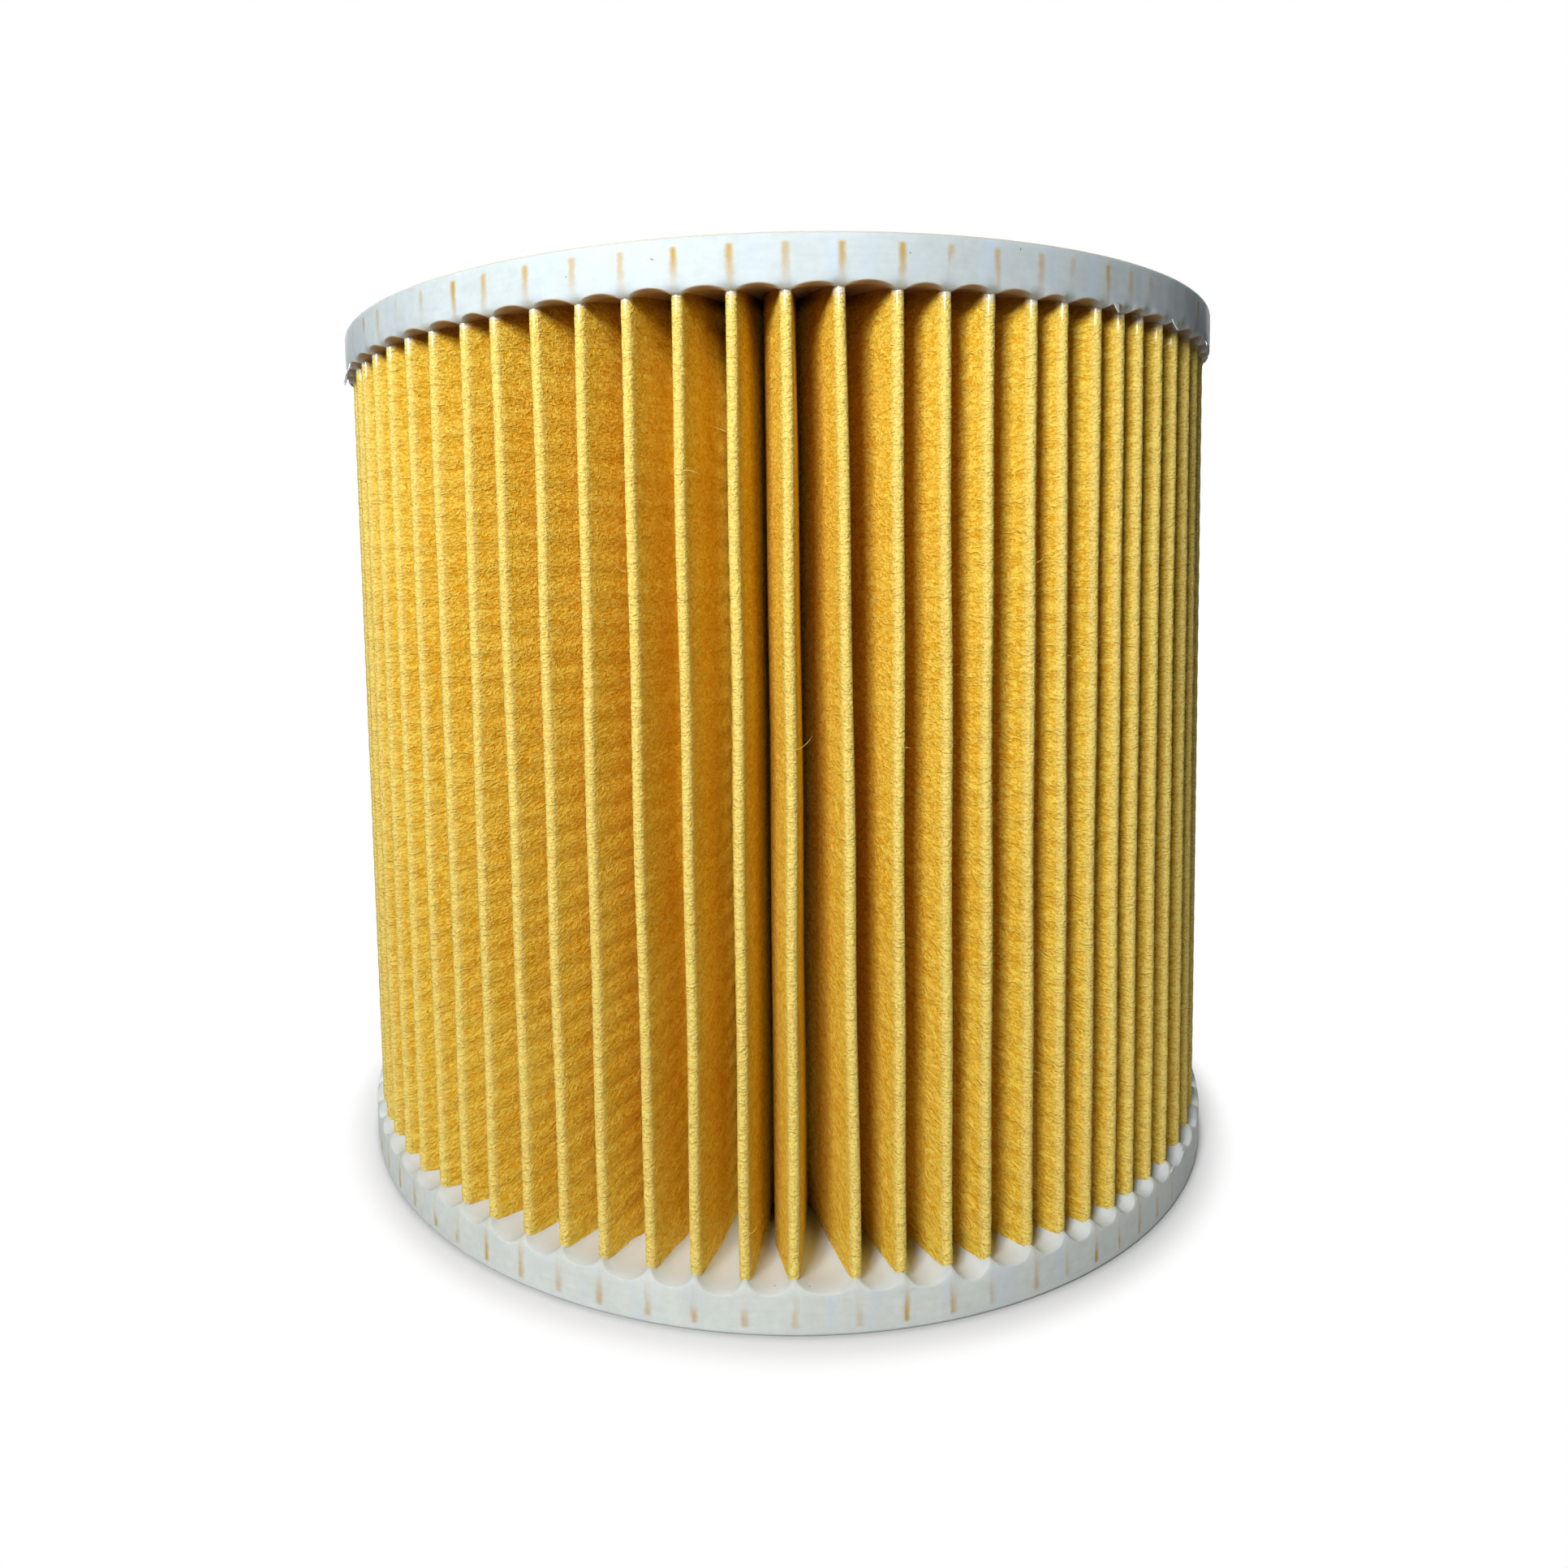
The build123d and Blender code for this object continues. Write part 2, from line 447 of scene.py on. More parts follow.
class FILTER_OT_pleated_paper(bpy.types.Operator):
    """Folds the filter paper into its ring of pleats."""

    bl_idname = "cartridge_filter.pleated_paper"
    bl_label = "Pleated paper"

    ROWS_PER_WAVE = 4
    INNER_ROWS = 15
    INNER_FLATS = 2
    # How far the fine rows reach into each cap
    LOWER_COVER = 2.4 * MM
    UPPER_COVER = 1.6 * MM
    # Half the run round an outer fold in thicknesses, and round an inner fold as a share of the flank
    FOLD_HALF = 1.5
    INNER_FOLD_HALF = 0.03
    # Chance shift of a flank's waves in radians, what a fold takes up of them, and how sharply they start
    WAVE_CHANCE = 0.35
    FOLD_WAVE = 0.12
    WAVE_START = 4

    def execute(self, context):
        paper = context.scene.cartridge_filter.paper
        rise = paper.corrugation_pitch / self.ROWS_PER_WAVE
        exposed = np.arange(LOWER_CAP_HIGH.z - self.LOWER_COVER, UPPER_CAP_LOW.z + self.UPPER_COVER, rise)
        heights = np.concatenate([[PAPER_LOW.z], exposed, [PAPER_HIGH.z]])
        coarse = np.linspace(PAPER_LOW.z, PAPER_HIGH.z, self.INNER_ROWS)
        outer = self.outer_face(paper, heights)
        inner = self.inner_face(paper, coarse)
        rows, count, columns = outer.shape
        inner_rows, _, inner_columns = inner.shape
        points = points_at(outer.reshape(rows, -1), heights[:, None])
        points = np.append(points, points_at(inner.reshape(inner_rows, -1), coarse[:, None]), axis=0)
        inner_first = rows * count * columns
        faces = loop_faces(rows, count * columns, 0, False, False)
        faces += loop_faces(inner_rows, count * inner_columns, inner_first, False, True)
        outer_top = (rows - 1) * count * columns
        inner_top = inner_first + (inner_rows - 1) * count * inner_columns
        faces += self.cut_ends(count, columns, inner_columns, 0, inner_first, True)
        faces += self.cut_ends(count, columns, inner_columns, outer_top, inner_top, False)
        # Place along the flat sheet, measured from the middle of each outer fold
        flank = TIP_RADIUS - CORE_RADIUS
        round_fold = np.linspace(-self.FOLD_HALF, self.FOLD_HALF, FOLD_FLATS + 1) * paper.thickness
        along = np.append(round_fold, np.array([0.5, 1, 1.5]) * flank)
        inner_along = np.array([0, 1 - self.INNER_FOLD_HALF, 1, 1 + self.INNER_FOLD_HALF]) * flank
        distance = np.tile(np.minimum(np.abs(along), 2 * flank - along), rows * count)
        distance = np.append(distance, np.full(inner_rows * count * inner_columns, flank))
        run = self.corner_runs(along, count, rows, 2 * flank)
        run = np.append(run, self.corner_runs(inner_along, count, inner_rows, 2 * flank))
        run = np.append(run, np.zeros(sum(len(face) for face in faces) - len(run)))
        carried = {"fold_distance": distance}
        piece = mesh_piece("filter_paper_pleats", points, faces, carried, {"sheet_run": run})
        piece.data.materials.append(paper_finish(paper, context.scene.cartridge_filter.caps))
        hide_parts("pleated_paper")
        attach(piece, "root")
        return {"FINISHED"}

    def corner_runs(self, along, count, rows, pleat_run):
        """Place along the whole flat sheet at the corners of each face, row by row."""
        starts = (np.arange(count)[:, None] * pleat_run + along).ravel()
        ends = np.append(starts[1:], starts[0] + count * pleat_run)
        corners = [starts, ends, ends, starts]
        return np.tile(np.stack(corners, -1).ravel(), rows - 1)

    def outer_face(self, paper, heights):
        """Plan points of the dusty side: those round each outer fold, then flank, inner fold and flank."""
        tip, valley, _ = creases(paper, heights)
        random = np.random.default_rng(paper.seed + 1)
        count = paper.pleats
        fold = bend(tip, np.roll(valley, 1, axis=1), valley, paper.thickness, FOLD_FLATS)
        outward = (fold - tip[..., None]) / paper.thickness
        share = heights[:, None] / TOTAL_HEIGHT
        phase = random.normal(0, self.WAVE_CHANCE, count)
        wave = np.sin(math.tau * heights[:, None] / paper.corrugation_pitch + phase)
        pressed_flat = np.exp(-((even_angles(count) / paper.smooth_front) ** self.WAVE_START))
        wave = paper.corrugation_depth * (1 - pressed_flat) * wave
        bow = paper.bow * np.sin(math.pi * share) * random.normal(0, 1, count)
        other_bow = paper.bow * np.sin(math.pi * share) * random.normal(0, 1, count)
        other_bow[:, count // 2 - 1] += paper.front_bulge
        right = (fold[..., -1] + valley) / 2 + (wave + bow) * outward[..., -1]
        following_fold = np.roll(fold[..., 0], -1, axis=1)
        following_outward = np.roll(outward[..., 0], -1, axis=1)
        left = (following_fold + valley) / 2 + (wave + other_bow) * following_outward
        fold = fold + self.FOLD_WAVE * wave[..., None] * outward
        return np.concatenate([fold, np.stack([right, valley, left], -1)], -1)

    def inner_face(self, paper, heights):
        """Plan points of the clean side: the crease of each outer fold, then round the inner fold."""
        tip, valley, _ = creases(paper, heights)
        fold = bend(valley, np.roll(tip, -1, axis=1), tip, paper.thickness, self.INNER_FLATS)[..., ::-1]
        return np.concatenate([tip[..., None], fold], -1)

    def cut_ends(self, count, columns, inner_columns, outer_first, inner_first, facing_down):
        """Faces across the cut edge of the paper at one end."""
        faces = []
        for pleat in range(count):
            start = outer_first + pleat * columns
            inner_start = inner_first + pleat * inner_columns
            fold = list(range(start, start + columns))
            last, right, valley, left = fold[FOLD_FLATS:]
            crease, *inner_fold = range(inner_start, inner_start + inner_columns)
            following = (pleat + 1) % count
            next_fold = outer_first + following * columns
            next_crease = inner_first + following * inner_columns
            pleat_faces = [
                [*fold[: FOLD_FLATS + 1], crease],
                [last, right, valley, inner_fold[0], crease],
                [valley, *inner_fold[::-1]],
                [valley, left, next_fold, next_crease, inner_fold[-1]],
            ]
            if facing_down:
                pleat_faces = [face[::-1] for face in pleat_faces]
            faces += pleat_faces
        return faces


class FILTER_OT_loose_fibres(bpy.types.Operator):
    """Adds the fibres that stand off the outer folds of the paper."""

    bl_idname = "cartridge_filter.loose_fibres"
    bl_label = "Loose fibres"

    RADIUS = 0.03 * MM
    SIDES = 3
    STEPS = 6
    CLEAR_OF_CAPS = 2 * MM
    REACHES = (0.7 * MM, 1.8 * MM)
    # Rise and curl along a fibre, as shares of its reach
    TILT = 0.9
    CURL = 0.6
    # Where a fibre starts beside the middle of its fold and under the outermost paper, and its arch
    ROOT_SIDE = 0.4 * MM
    ROOT_DEPTH = 0.5 * MM
    ARCH = 0.3 * MM

    def execute(self, context):
        paper = context.scene.cartridge_filter.paper
        random = np.random.default_rng(paper.seed + 2)
        points = []
        faces = []
        for _ in range(paper.loose_fibres):
            self.add_fibre(points, faces, random, paper)
        piece = mesh_piece("loose_fibres", points, faces, {}, {})
        piece.data.materials.append(fibre_finish(paper))
        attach(piece, "root")
        return {"FINISHED"}

    def add_fibre(self, points, faces, random, paper):
        """One hair, rooted in the side of a fold and curling away from it."""
        rise = random.uniform(LOWER_CAP_HIGH.z + self.CLEAR_OF_CAPS, UPPER_CAP_LOW.z - self.CLEAR_OF_CAPS)
        turn = random.choice(fold_angles(paper, [rise])[0])
        side = random.choice((-1, 1))
        reach = random.uniform(*self.REACHES)
        tilt = random.uniform(-self.TILT, self.TILT)
        curl = random.uniform(-self.CURL, self.CURL)
        first = len(points)
        steps = np.linspace(0, 1, self.STEPS)
        sideways = side * (self.ROOT_SIDE + reach * steps)
        radius = TIP_RADIUS - self.ROOT_DEPTH + self.ARCH * np.sin(steps * math.pi)
        heights = rise + reach * (tilt * steps + curl * steps**2)
        for step in range(self.STEPS):
            for corner in range(self.SIDES):
                about = corner * math.tau / self.SIDES
                flat = plan(turn + sideways[step] / TIP_RADIUS, radius[step] + self.RADIUS * math.cos(about))
                points.append((flat.real, flat.imag, heights[step] + self.RADIUS * math.sin(about)))
        faces += loop_faces(self.STEPS, self.SIDES, first, False, side > 0)
        ends = [list(range(first, first + self.SIDES)), list(range(len(points) - self.SIDES, len(points)))]
        ends[side > 0].reverse()
        faces += ends


class CapRows:
    """Rows of points round one end cap, with what each point carries for the resin's finish."""

    def __init__(self, turns, fold_gap):
        self.turns = turns
        self.fold_gap = fold_gap
        self.plans = []
        self.rises = []
        self.gaps = []
        self.insides = []

    def add(self, places, rise, on_wall=False, inside=0.0):
        """A row at plan places and at a rise above the end face."""
        gap = self.fold_gap if on_wall else 1.0
        row = ((self.plans, places), (self.rises, rise), (self.gaps, gap), (self.insides, inside))
        for kept, values in row:
            kept.append(np.broadcast_to(values, self.turns.shape).ravel())

    def ring(self, radius):
        """Plan places of a row at one radius."""
        return plan(self.turns, radius)


class FILTER_OT_end_caps(bpy.types.Operator):
    """Casts the two resin end caps round the ends of the paper."""

    bl_idname = "cartridge_filter.end_caps"
    bl_label = "End caps"

    # Line of the rim: points across a trough, height beside a tongue, curve of the trough, and chance
    TROUGH_POINTS = 15
    BESIDE_TONGUE = 0.92
    TROUGH_CURVES = {"lower": 2.6, "upper": 2.0}
    CREST_CHANCE = 0.16 * MM
    DIP_CHANCE = 0.12
    # Rows of the resin between two folds, as shares of the way out from the inner folds
    REACHES = (0.02, 0.1, 0.22, 0.36, 0.52, 0.68, 0.82, 0.92, 1.0)
    INNER_DIP = 0.45
    DROP_CURVE = 0.8
    # How far the resin runs into the paper, in thicknesses, and where it starts in the core's wall
    INTO_PAPER = 0.4
    INTO_CORE = 0.8 * MM
    # Rim: lean of a tongue, step out from the folds, rounding, and the hollow between two folds
    TONGUE_LEAN = 0.62 * MM
    RIM_STEP = 0.08 * MM
    RIM_ROUND = 0.14 * MM
    RIM_CORNER = 0.04 * MM
    RIM_INSIDE = 0.6
    HOLLOW = 0.035 * MM
    HOLLOW_REACH = 2.3 * MM
    # Rows down the side as shares of the way to the end face, and how the lean of a tongue fades there
    SIDE_ROWS = (0.0, 0.06, 0.13, 0.25, 0.5, 1.0)
    SIDE_LEAN = 0.8
    SIDE_FADE = 14
    # End face: where its flat rows start, how many they are, and the rounding of the lip
    FACE_START = 3 * MM
    FACE_ROWS = 6
    LIP_ROUND = 0.3 * MM
    # Folds that show through the side: strength, its swing round the ring, chance, and depths
    MARK_STRENGTH = 0.4
    MARK_SWING = 0.3
    MARK_SIDE = math.radians(35)
    MARK_CHANCE = 0.28
    FAINTEST_MARK = 0.15
    MARK_DEPTHS = (2.2 * MM, 6 * MM)

    def execute(self, context):
        settings = context.scene.cartridge_filter
        lower = self.cast("lower_cap", settings, "lower")
        upper = self.cast("upper_cap", settings, "upper")
        lower.data.materials.append(resin_finish(settings.caps, "lower"))
        upper.data.materials.append(resin_finish(settings.caps, "upper"))
        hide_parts("lower_end_cap")
        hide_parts("upper_end_cap")
        for piece in (lower, upper):
            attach(piece, "root")
        return {"FINISHED"}

    def cast(self, name, settings, part):
        """One cap as a ring of cross sections, worked out from its end face inwards."""
        paper = settings.paper
        caps = settings.caps
        trough, tongue, valley_drop = settings_of(caps, part, "trough", "tongue", "drop")
        upper = part == "upper"
        count = paper.pleats
        random = np.random.default_rng(caps.seed + upper)
        rim_height = rim_height_of(upper)
        level = TOTAL_HEIGHT - rim_height if upper else rim_height
        tip, valley, tips = (values[0] for values in creases(paper, np.array([level])))
        fold = bend(tip, np.roll(valley, 1), valley, paper.thickness, FOLD_FLATS)
        following = np.append(tips[1:], tips[0] + math.tau)

        # Places across one trough from fold to fold, after the middle of the tongue before it
        across = np.sin(np.linspace(-1, 1, self.TROUGH_POINTS) * math.pi / 2)
        share = (1 + across) / 2
        tongue_turn = 0.5 * tongue / CAP_RADIUS
        start = tips + tongue_turn
        gap = following - start - tongue_turn
        turns = np.concatenate([tips[:, None], start[:, None] + gap[:, None] * share], 1)
        nearest = np.minimum(turns - tips[:, None], following[:, None] - turns)
        rows = CapRows(turns, nearest * CAP_RADIUS)

        # Line of the resin round the rim: a crest at each fold and a dip between two folds
        steepness = np.append(1.0, self.BESIDE_TONGUE * np.abs(across) ** self.TROUGH_CURVES[part])
        crests = rim_height - np.abs(random.normal(0, self.CREST_CHANCE, count))
        dips = trough * (1 + random.normal(0, self.DIP_CHANCE, count))[:, None] * (1 - steepness)
        climb = (np.roll(crests, -1) - crests)[:, None] * np.append(0, share)
        crest_line = crests[:, None] + climb

        rows.add(rows.ring(CORE_RADIUS - self.INTO_CORE), LIP_HEIGHT)
        rows.add(rows.ring(CORE_RADIUS + paper.clearance / 2), LIP_HEIGHT)
        # The resin runs about half a thickness into the paper, so its edge never shows
        right_side = (fold[:, -1] + tip) / 2
        left_side = np.roll((fold[:, 0] + tip) / 2, -1)
        bottom = valley * (1 - self.INTO_PAPER * paper.thickness / abs(valley))
        for reach in self.REACHES:
            near_right = bottom + reach * (right_side - bottom)
            near_left = bottom + reach * (left_side - bottom)
            in_trough = near_right[:, None] + (near_left - near_right)[:, None] * share
            under_fold = plan(tips, abs(valley) + reach * (abs(tip) - abs(valley)))
            places = np.concatenate([under_fold[:, None], in_trough], 1)
            drop = valley_drop * (1 - reach) ** self.DROP_CURVE
            dip_share = self.INNER_DIP + (1 - self.INNER_DIP) * reach
            rows.add(places, crest_line - dips * dip_share - drop, inside=1.0)
        self.add_rim(rows, crest_line - dips, steepness, caps.edge_radius)
        self.add_end_face(rows, caps.edge_radius)

        plans = np.array(rows.plans)
        rises = np.array(rows.rises)
        heights = TOTAL_HEIGHT - rises if upper else rises
        faces = loop_faces(len(plans), plans.shape[1], 0, True, not upper)
        # The folds show through most on the left of the front
        strength = self.MARK_STRENGTH + self.MARK_SWING * np.cos(tips + self.MARK_SIDE)
        strength = np.clip(strength + random.normal(0, self.MARK_CHANCE, count), self.FAINTEST_MARK, 1)
        depth = random.uniform(*self.MARK_DEPTHS, count)
        carried = {
            "fold_gap": rows.gaps,
            "from_end": rises,
            "inside": rows.insides,
            "mark_strength": np.tile(np.repeat(strength, turns.shape[1]), len(plans)),
            "mark_depth": np.tile(np.repeat(depth, turns.shape[1]), len(plans)),
        }
        return mesh_piece(name, points_at(plans, heights), faces, carried, {})

    def add_rim(self, rows, rim, steepness, edge):
        """Rim with a tongue that leans back against each fold, then the side down to the end face."""
        lean = self.TONGUE_LEAN * steepness**2
        between = 1 - steepness
        inner = rows.ring(TIP_RADIUS + self.RIM_STEP - 0.5 * lean)
        rows.add(inner, rim + self.RIM_CORNER * steepness, True, between)
        rows.add(rows.ring(CAP_RADIUS - self.RIM_ROUND - lean), rim, True, self.RIM_INSIDE * between)
        rows.add(rows.ring(CAP_RADIUS - self.RIM_CORNER - lean), rim - self.RIM_CORNER, True)
        from_fold = np.clip(rows.fold_gap / self.HOLLOW_REACH, 0, 1)
        hollow = self.HOLLOW * (1 - np.cos(from_fold * math.pi)) / 2
        top = rim - self.RIM_ROUND
        for share in self.SIDE_ROWS:
            inset = hollow + self.SIDE_LEAN * lean * (1 - share) ** self.SIDE_FADE
            rows.add(rows.ring(CAP_RADIUS - inset), top + share * (edge - top), True)

    def add_end_face(self, rows, edge):
        """Rounded outer edge, flat end face, rounded bore edge, bore and the lip inside it."""
        for turn in np.radians((30, 60, 90)):
            radius = CAP_RADIUS - edge * (1 - math.cos(turn))
            rows.add(rows.ring(radius), edge * (1 - math.sin(turn)), True)
        for radius in np.linspace(CAP_RADIUS - self.FACE_START, BORE_RADIUS + edge, self.FACE_ROWS):
            rows.add(rows.ring(radius), 0.0)
        for turn in np.radians((60, 30, 0)):
            radius = BORE_RADIUS + edge * (1 - math.cos(turn))
            rows.add(rows.ring(radius), edge * (1 - math.sin(turn)))
        for turn in np.radians((0, 45, 90)):
            radius = BORE_RADIUS + self.LIP_ROUND * (1 - math.cos(turn))
            rows.add(rows.ring(radius), LIP_HEIGHT - self.LIP_ROUND * (1 - math.sin(turn)))


class FILTER_OT_casting_flash(bpy.types.Operator):
    """Adds the torn flakes of resin that stayed on the rims of the caps."""

    bl_idname = "cartridge_filter.casting_flash"
    bl_label = "Casting flash"

    # Angle from the front towards +X in degrees, and width and reach past the rim in millimetres
    UPPER_FLAKES = (
        (-69.0, 1.8, 1.1),
        (-66.5, 1.4, 1.5),
        (-64.0, 2.0, 1.2),
        (-61.0, 1.2, 0.8),
        (36.4, 0.7, 0.75),
        (48.0, 1.3, 0.95),
        (61.0, 1.8, 0.4),
    )
    LOWER_FLAKES = ((-58.0, 1.1, 0.6), (-52.0, 0.9, 0.5), (50.5, 1.3, 0.7), (54.0, 0.9, 0.8))
    # Outline of a flake: shares of its width and of its reach, and the least that chance leaves of a reach
    WIDTHS = np.array([-0.5, -0.28, 0.05, 0.24, 0.5])
    REACHES = np.array([-0.25, 0.45, 1.0, 0.5, -0.25])
    LEAST_REACH = 0.75
    # How far a flake bends outwards past the rim, and how deep its two faces stand in the side
    CURL = 0.35
    FACE_DEPTHS = (0.05 * MM, 0.17 * MM)
    # Where the rim stands at a flake, as a share of the trough's dip
    RIM_DIP = 0.9

    def execute(self, context):
        caps = context.scene.cartridge_filter.caps
        random = np.random.default_rng(caps.seed + 2)
        points = []
        faces = []
        for upper, flakes in ((True, self.UPPER_FLAKES), (False, self.LOWER_FLAKES)):
            trough = caps.upper_trough if upper else caps.lower_trough
            rim = rim_height_of(upper) - self.RIM_DIP * trough
            for turn, width, reach in flakes:
                self.add_flake(points, faces, random, math.radians(turn), width * MM, reach * MM, rim, upper)
        piece = mesh_piece("resin_flash", points, faces, {}, {})
        piece.data.materials.append(flash_finish(caps))
        piece.data.polygons.foreach_set("use_smooth", np.zeros(len(faces), bool))
        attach(piece, "root")
        return {"FINISHED"}

    def add_flake(self, points, faces, random, turn, width, reach, rim, upper):
        """A thin ragged flake rooted in the rim, its tip curling away from the folds."""
        first = len(points)
        corners = len(self.WIDTHS)
        along = self.WIDTHS * width
        past_rim = self.REACHES * reach * random.uniform(self.LEAST_REACH, 1, corners)
        curl = np.clip(past_rim, 0, None) * self.CURL
        rise = rim + past_rim
        for depth in self.FACE_DEPTHS:
            flat = plan(turn + along / CAP_RADIUS, CAP_RADIUS - depth + curl)
            points += points_at(flat, TOTAL_HEIGHT - rise if upper else rise).tolist()
        front = list(range(first, first + corners))
        back = list(range(first + corners, first + 2 * corners))
        sides = [[front[step - 1], front[step], back[step], back[step - 1]] for step in range(corners)]
        flake = [front[::-1], back, *sides]
        faces += [face[::-1] for face in flake] if upper else flake


class FILTER_OT_inner_core(bpy.types.Operator):
    """Gives the moulded lattice core its plastic."""

    bl_idname = "cartridge_filter.inner_core"
    bl_label = "Inner core"

    def execute(self, context):
        core = frame["nodes"]["inner_core"]
        core.data.materials.clear()
        core.data.materials.append(plastic_finish(context.scene.cartridge_filter.core))
        return {"FINISHED"}


class FILTER_OT_stage(bpy.types.Operator):
    """Sets the floor, the lamps and the camera."""

    bl_idname = "cartridge_filter.stage"
    bl_label = "Stage"

    # Camera fitted to the outlines of both caps: millimetres, degrees, and pixels of the photograph
    CAMERA_PLACE = (0, -152.06, 73.57)
    CAMERA_PITCH = 4.011
    CAMERA_YAW = 2.433
    CAMERA_ROLL = -1.012
    FOCAL_PIXELS = 1266.1
    SHIFT_PIXELS = (-65.4, -171.2)
    NEAREST_SEEN = 10 * MM

    def execute(self, context):
        stage = context.scene.cartridge_filter.stage
        context.scene.view_settings.view_transform = "Standard"
        self.lay_floor(stage)
        self.light_sky(context.scene, stage)
        self.hang_lamp(stage, "key", stage.key_side)
        self.hang_lamp(stage, "top", stage.top_side)
        self.hang_lamp(stage, "back", stage.back_side)
        self.hang_lamp(stage, "back", -stage.back_side)
        self.set_camera(context.scene)
        return {"FINISHED"}

    def lay_floor(self, stage):
        """A flat floor under the lower cap."""
        half = stage.floor_size / 2
        corners = [(-half, -half, 0), (half, -half, 0), (half, half, 0), (-half, half, 0)]
        floor = mesh_piece("floor", corners, [(0, 1, 2, 3)], {}, {})
        floor.data.materials.append(floor_finish())

    def light_sky(self, scene, stage):
        """Even light all round, and a white sky for the camera."""
        scene.world = bpy.data.worlds.new("studio")
        sky = Finish(scene.world)
        camera_ray = sky.node("ShaderNodeLightPath", output="Is Camera Ray")
        strength = stage.sky_strength + camera_ray * (1 - stage.sky_strength)
        background = sky.node("ShaderNodeBackground", None, {"Color": WHITE, "Strength": strength})
        sky.node("ShaderNodeOutputWorld", None, {"Surface": background})

    def hang_lamp(self, stage, part, side):
        """A soft square lamp that faces the middle of the object."""
        rise, distance, size, energy = settings_of(stage, part, "rise", "distance", "size", "power")
        lamp = bpy.data.lights.new(f"{part}_lamp", "AREA")
        lamp.size = size
        lamp.energy = energy
        lamp_object = bpy.data.objects.new(f"{part}_lamp", lamp)
        lamp_object.visible_camera = False
        flat = plan(side, math.cos(rise) * distance)
        middle = Vector((0, 0, TOTAL_HEIGHT / 2))
        lamp_object.location = middle + Vector((flat.real, flat.imag, math.sin(rise) * distance))
        lamp_object.rotation_euler = (middle - lamp_object.location).to_track_quat("-Z", "Y").to_euler()
        bpy.context.scene.collection.objects.link(lamp_object)

    def set_camera(self, scene):
        """The viewpoint of the photograph, close by and a little below the upper cap."""
        camera = bpy.data.cameras.new("camera")
        camera.sensor_width = SENSOR_WIDTH
        camera.lens = self.FOCAL_PIXELS / PHOTO_PIXELS * SENSOR_WIDTH
        camera.shift_x = -self.SHIFT_PIXELS[0] / PHOTO_PIXELS
        camera.shift_y = self.SHIFT_PIXELS[1] / PHOTO_PIXELS
        camera.clip_start = self.NEAREST_SEEN
        turned = Matrix.Rotation(math.radians(self.CAMERA_YAW), 3, "Z")
        turned = turned @ Matrix.Rotation(-math.radians(self.CAMERA_PITCH), 3, "X")
        turned = turned @ Matrix.Rotation(-math.radians(self.CAMERA_ROLL), 3, "Y")
        upright = Matrix.Rotation(math.pi / 2, 3, "X")
        place = Vector(self.CAMERA_PLACE) * MM
        camera_object = bpy.data.objects.new("camera", camera)
        camera_object.matrix_world = Matrix.Translation(place) @ (turned @ upright).to_4x4()
        scene.collection.objects.link(camera_object)
        scene.camera = camera_object


def paper_finish(paper, caps):
    """Resin-soaked filter paper: felted fibres, soft waves, a painted highlight on the outer folds, and wet
    ends with painted shade under the upper cap.
    """
    fibre_height = 0.3 * MM
    grain_height = 0.09 * MM
    wave_height = 0.03 * MM
    finish = Finish(bpy.data.materials.new("filter_paper"))
    place = finish.place()
    height = finish.node("ShaderNodeSeparateXYZ", None, {0: place}, "Z")
    flat = finish.node("ShaderNodeCombineXYZ", None, {0: finish.attribute("sheet_run"), 1: height})
    fibre = finish.noise(finish.stretched(flat, 0.4, 1.0, 1.0), scale=2100, roughness=0.6, curl=1.4)
    grain = finish.noise(flat, scale=4000, roughness=0.6)
    cloud = finish.noise(place, scale=110)
    distance = finish.attribute("fold_distance")
    fold = 1 - distance.step(start=0.45 * MM, end=1.5 * MM)
    shade = 0.5 + fibre.swing(3.0) + grain.swing(2.0) + cloud.swing(0.5)
    sheet = finish.mix(paper.grain_colour, paper.sheet_colour, shade)
    # Painted highlight along the outer folds
    fold_highlighted = finish.mix(sheet, paper.fold_colour, fold * (0.55 + grain.swing(2.6)))
    # Below the upper cap the resin has crept down: a brown stain that is mostly painted shade under the cap,
    # a film and a wet gleam on the folds
    slope = caps.upper_drop / (TIP_RADIUS - CORE_RADIUS)
    below_resin = UPPER_CAP_LOW.z + distance * slope - height + cloud.swing(1.2 * MM)
    # Painted shade under the upper cap, partly a resin stain, away from the folds
    stain_and_shade = (1 - below_resin.step(start=0.0, end=1.6 * MM)) * (1 - fold) * 0.75
    stained_and_shaded = finish.mix(fold_highlighted, paper.stain_and_shade_colour, stain_and_shade)
    film = (1 - below_resin.step(start=0.2 * MM, end=0.7 * MM)) * fold * 0.6
    coloured = finish.mix(stained_and_shaded, caps.upper_colour, film)
    wet = fold * (1 - below_resin.step(start=1.0 * MM, end=2.2 * MM))
    wave = (height * (math.tau / paper.corrugation_pitch)).sine()
    relief = fibre * fibre_height + grain * grain_height + wave * wave_height
    return finish.surface(
        {
            "Base Color": coloured,
            "Roughness": 0.82,
            "Specular IOR Level": 0.25,
            "Coat Weight": wet,
            "Coat Roughness": 0.22,
            "Normal": finish.bump(relief, distance=1.0),
        }
    )


def fibre_finish(paper):
    """Pale loose fibre."""
    finish = Finish(bpy.data.materials.new("loose_fibre"))
    # The fibres mix the paper's colour with the painted highlight colour of the folds
    shade = finish.mix(paper.sheet_colour, paper.fold_colour, finish.noise(finish.place(), scale=800))
    return finish.surface({"Base Color": shade, "Roughness": 0.6})


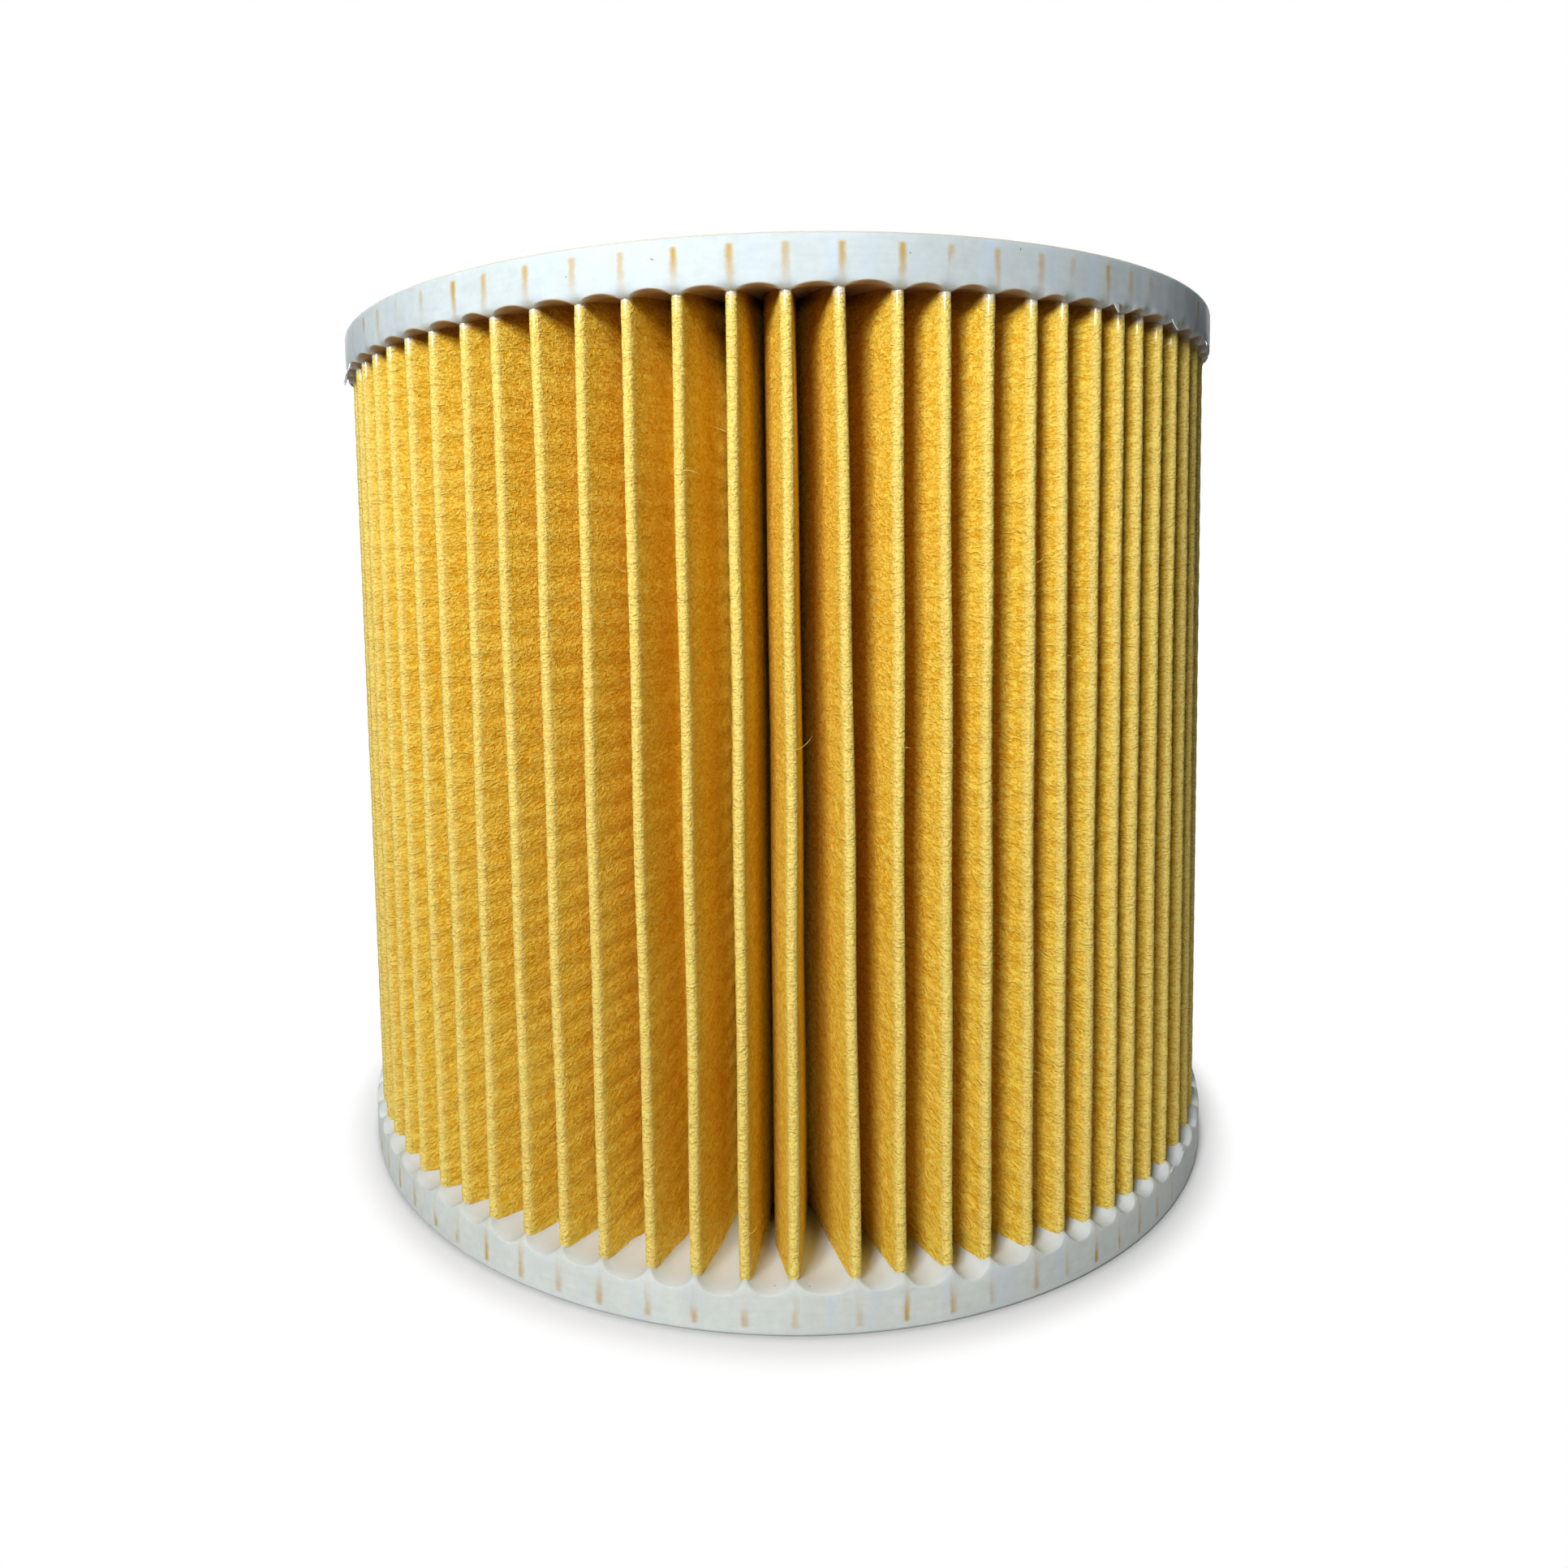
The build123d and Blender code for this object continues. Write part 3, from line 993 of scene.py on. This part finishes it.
def resin_finish(caps, part):
    """Cast white resin, with the folds of the paper showing through its side, painted reflection bands,
    painted light and shade between the folds, and a painted contact shadow at the foot.
    """
    faint = 0.12
    keys = ("colour", "trough_colour", "edge_colour", "roughness")
    resin_colour, trough_colour, edge_colour, roughness = settings_of(caps, part, *keys)
    finish = Finish(bpy.data.materials.new(f"{part}_resin"))
    place = finish.place()
    mottle = finish.noise(place, scale=900, detail=3.0, roughness=0.6)
    cloud = finish.noise(place, scale=90)
    streak = finish.noise(finish.stretched(place, 0.12, 0.12, 1.0), scale=2400)
    speck = finish.noise(place, scale=2200, detail=0.0).step(start=0.89, end=0.91)
    # Painted reflection: soft cool bluish bands up the side of the resin
    reflection_band = finish.noise(finish.stretched(place, 1.0, 1.0, 0.2), scale=380).step(start=0.5, end=0.75)
    # Each fold shows as a ragged line up the side, clear near the end face and faint further on
    gap = finish.attribute("fold_gap")
    from_end = finish.attribute("from_end")
    ragged = gap + mottle.swing(0.4 * MM)
    line = (1 - ragged.step(start=0.05 * MM, end=0.58 * MM)) * from_end.step(start=0.8 * MM, end=1.2 * MM)
    fade = 1 - from_end.step(start=1.5 * MM, end=finish.attribute("mark_depth"))
    mark = line * (faint + fade * (1 - faint)) * finish.attribute("mark_strength")
    shade = 0.1 + mottle + cloud.swing(0.8) + streak.swing(0.5)
    body = finish.mix(dimmed(resin_colour, 0.8), resin_colour, shade)
    reflection_banded = finish.mix(body, caps.reflection_band_colour, reflection_band * 0.45)
    # Painted light and shade between the folds: lighter on the lower cap, darker on the upper
    inside = finish.mix(reflection_banded, trough_colour, finish.attribute("inside"))
    # Off the side the gap is a whole metre, which keeps the edge's colour to the rounded edge
    edge = (1 - from_end.step(start=0.1 * MM, end=0.45 * MM)) * (1 - gap.step(start=3 * MM, end=300 * MM))
    # On the lower cap this darkened edge is a painted contact shadow at the foot
    edged = finish.mix(inside, edge_colour, edge * 0.7)
    marked = finish.mix(edged, caps.mark_colour, mark)
    specked = finish.mix(marked, caps.speck_colour, speck * 0.6)
    return finish.surface(
        {
            "Base Color": specked,
            "Specular IOR Level": 0.2,
            "Subsurface Weight": 0.3,
            "Subsurface Radius": (1.0, 1.0, 1.0),
            "Subsurface Scale": 1.4 * MM,
            "Roughness": roughness + streak.swing(0.25),
            "Normal": finish.bump(mottle + streak, distance=0.015 * MM, strength=0.6),
        }
    )


def flash_finish(caps):
    """Thin torn resin, glossier than the caps."""
    finish = Finish(bpy.data.materials.new("resin_flash"))
    mottle = finish.noise(finish.place(), scale=1500)
    shade = finish.mix(dimmed(caps.upper_colour, 0.8), caps.upper_colour, 0.5 + mottle.swing(1.5))
    return finish.surface({"Base Color": shade, "Roughness": 0.25 + mottle * 0.15})


def plastic_finish(core):
    """Moulded black plastic with a fine spark texture."""
    cloud_light = 0.02
    finish = Finish(bpy.data.materials.new("core_plastic"))
    place = finish.place()
    grain = finish.noise(place, scale=2600)
    cloud = finish.noise(place, scale=120)
    lighter = [channel + cloud_light for channel in core.plastic_colour]
    return finish.surface(
        {
            "Base Color": finish.mix(core.plastic_colour, lighter, cloud),
            "Roughness": 0.48 + grain.swing(0.3),
            "Normal": finish.bump(grain, distance=0.04 * MM, strength=0.5),
        }
    )


def floor_finish():
    """White floor that keeps the object's shadow, most of it close to the foot."""
    near_grey = (0.8, 0.8, 0.8)
    far_grey = (0.25, 0.25, 0.25)
    finish = Finish(bpy.data.materials.new("floor"))
    white = finish.node("ShaderNodeEmission", None, {"Color": WHITE, "Strength": 1.0})
    camera_ray = finish.node("ShaderNodeLightPath", output="Is Camera Ray")
    from_axis = finish.node("ShaderNodeVectorMath", {"operation": "LENGTH"}, {0: finish.place()}, "Value")
    shade = finish.mix(near_grey, far_grey, from_axis.step(start=1.2 * CAP_RADIUS, end=2.2 * CAP_RADIUS))
    matt = {"Base Color": shade, "Roughness": 1.0, "Specular IOR Level": 0.0}
    diffuse = finish.node("ShaderNodeBsdfPrincipled", None, matt)
    beside = from_axis.step(start=0.995 * CAP_RADIUS, end=1.015 * CAP_RADIUS)
    away = from_axis.step(start=1.0 * CAP_RADIUS, end=1.08 * CAP_RADIUS)
    clear = beside * 0.3 + away * 0.7
    mixed = finish.node("ShaderNodeMixShader", None, {0: camera_ray * clear, 1: diffuse, 2: white})
    finish.node("ShaderNodeOutputMaterial", None, {"Surface": mixed})
    return finish.owner


class FILTER_PT_sidebar(bpy.types.Panel):
    """Settings and steps of the cartridge filter."""

    bl_label = "Cartridge filter"
    bl_idname = "FILTER_PT_sidebar"
    bl_space_type = "VIEW_3D"
    bl_region_type = "UI"
    bl_category = "Filter"

    def draw(self, context):
        settings = context.scene.cartridge_filter
        for group in (settings.paper, settings.caps, settings.core, settings.stage):
            box = self.layout.box()
            for key in group.__annotations__:
                box.prop(group, key)
        for operator in OPERATORS:
            self.layout.operator(operator.bl_idname)


OPERATORS = (
    FILTER_OT_pleated_paper,
    FILTER_OT_loose_fibres,
    FILTER_OT_end_caps,
    FILTER_OT_casting_flash,
    FILTER_OT_inner_core,
    FILTER_OT_stage,
)
GROUPS = (PaperSettings, CapSettings, CoreSettings, StageSettings, FilterSettings)
CLASSES = (*GROUPS, *OPERATORS, FILTER_PT_sidebar)


def register():
    for each in CLASSES:
        bpy.utils.register_class(each)
    bpy.types.Scene.cartridge_filter = PointerProperty(type=FilterSettings)


def unregister():
    del bpy.types.Scene.cartridge_filter
    for each in reversed(CLASSES):
        bpy.utils.unregister_class(each)


def main():
    register()
    bpy.ops.cartridge_filter.pleated_paper()
    bpy.ops.cartridge_filter.loose_fibres()
    bpy.ops.cartridge_filter.end_caps()
    bpy.ops.cartridge_filter.casting_flash()
    bpy.ops.cartridge_filter.inner_core()
    bpy.ops.cartridge_filter.stage()


if __name__ == "__main__":
    main()
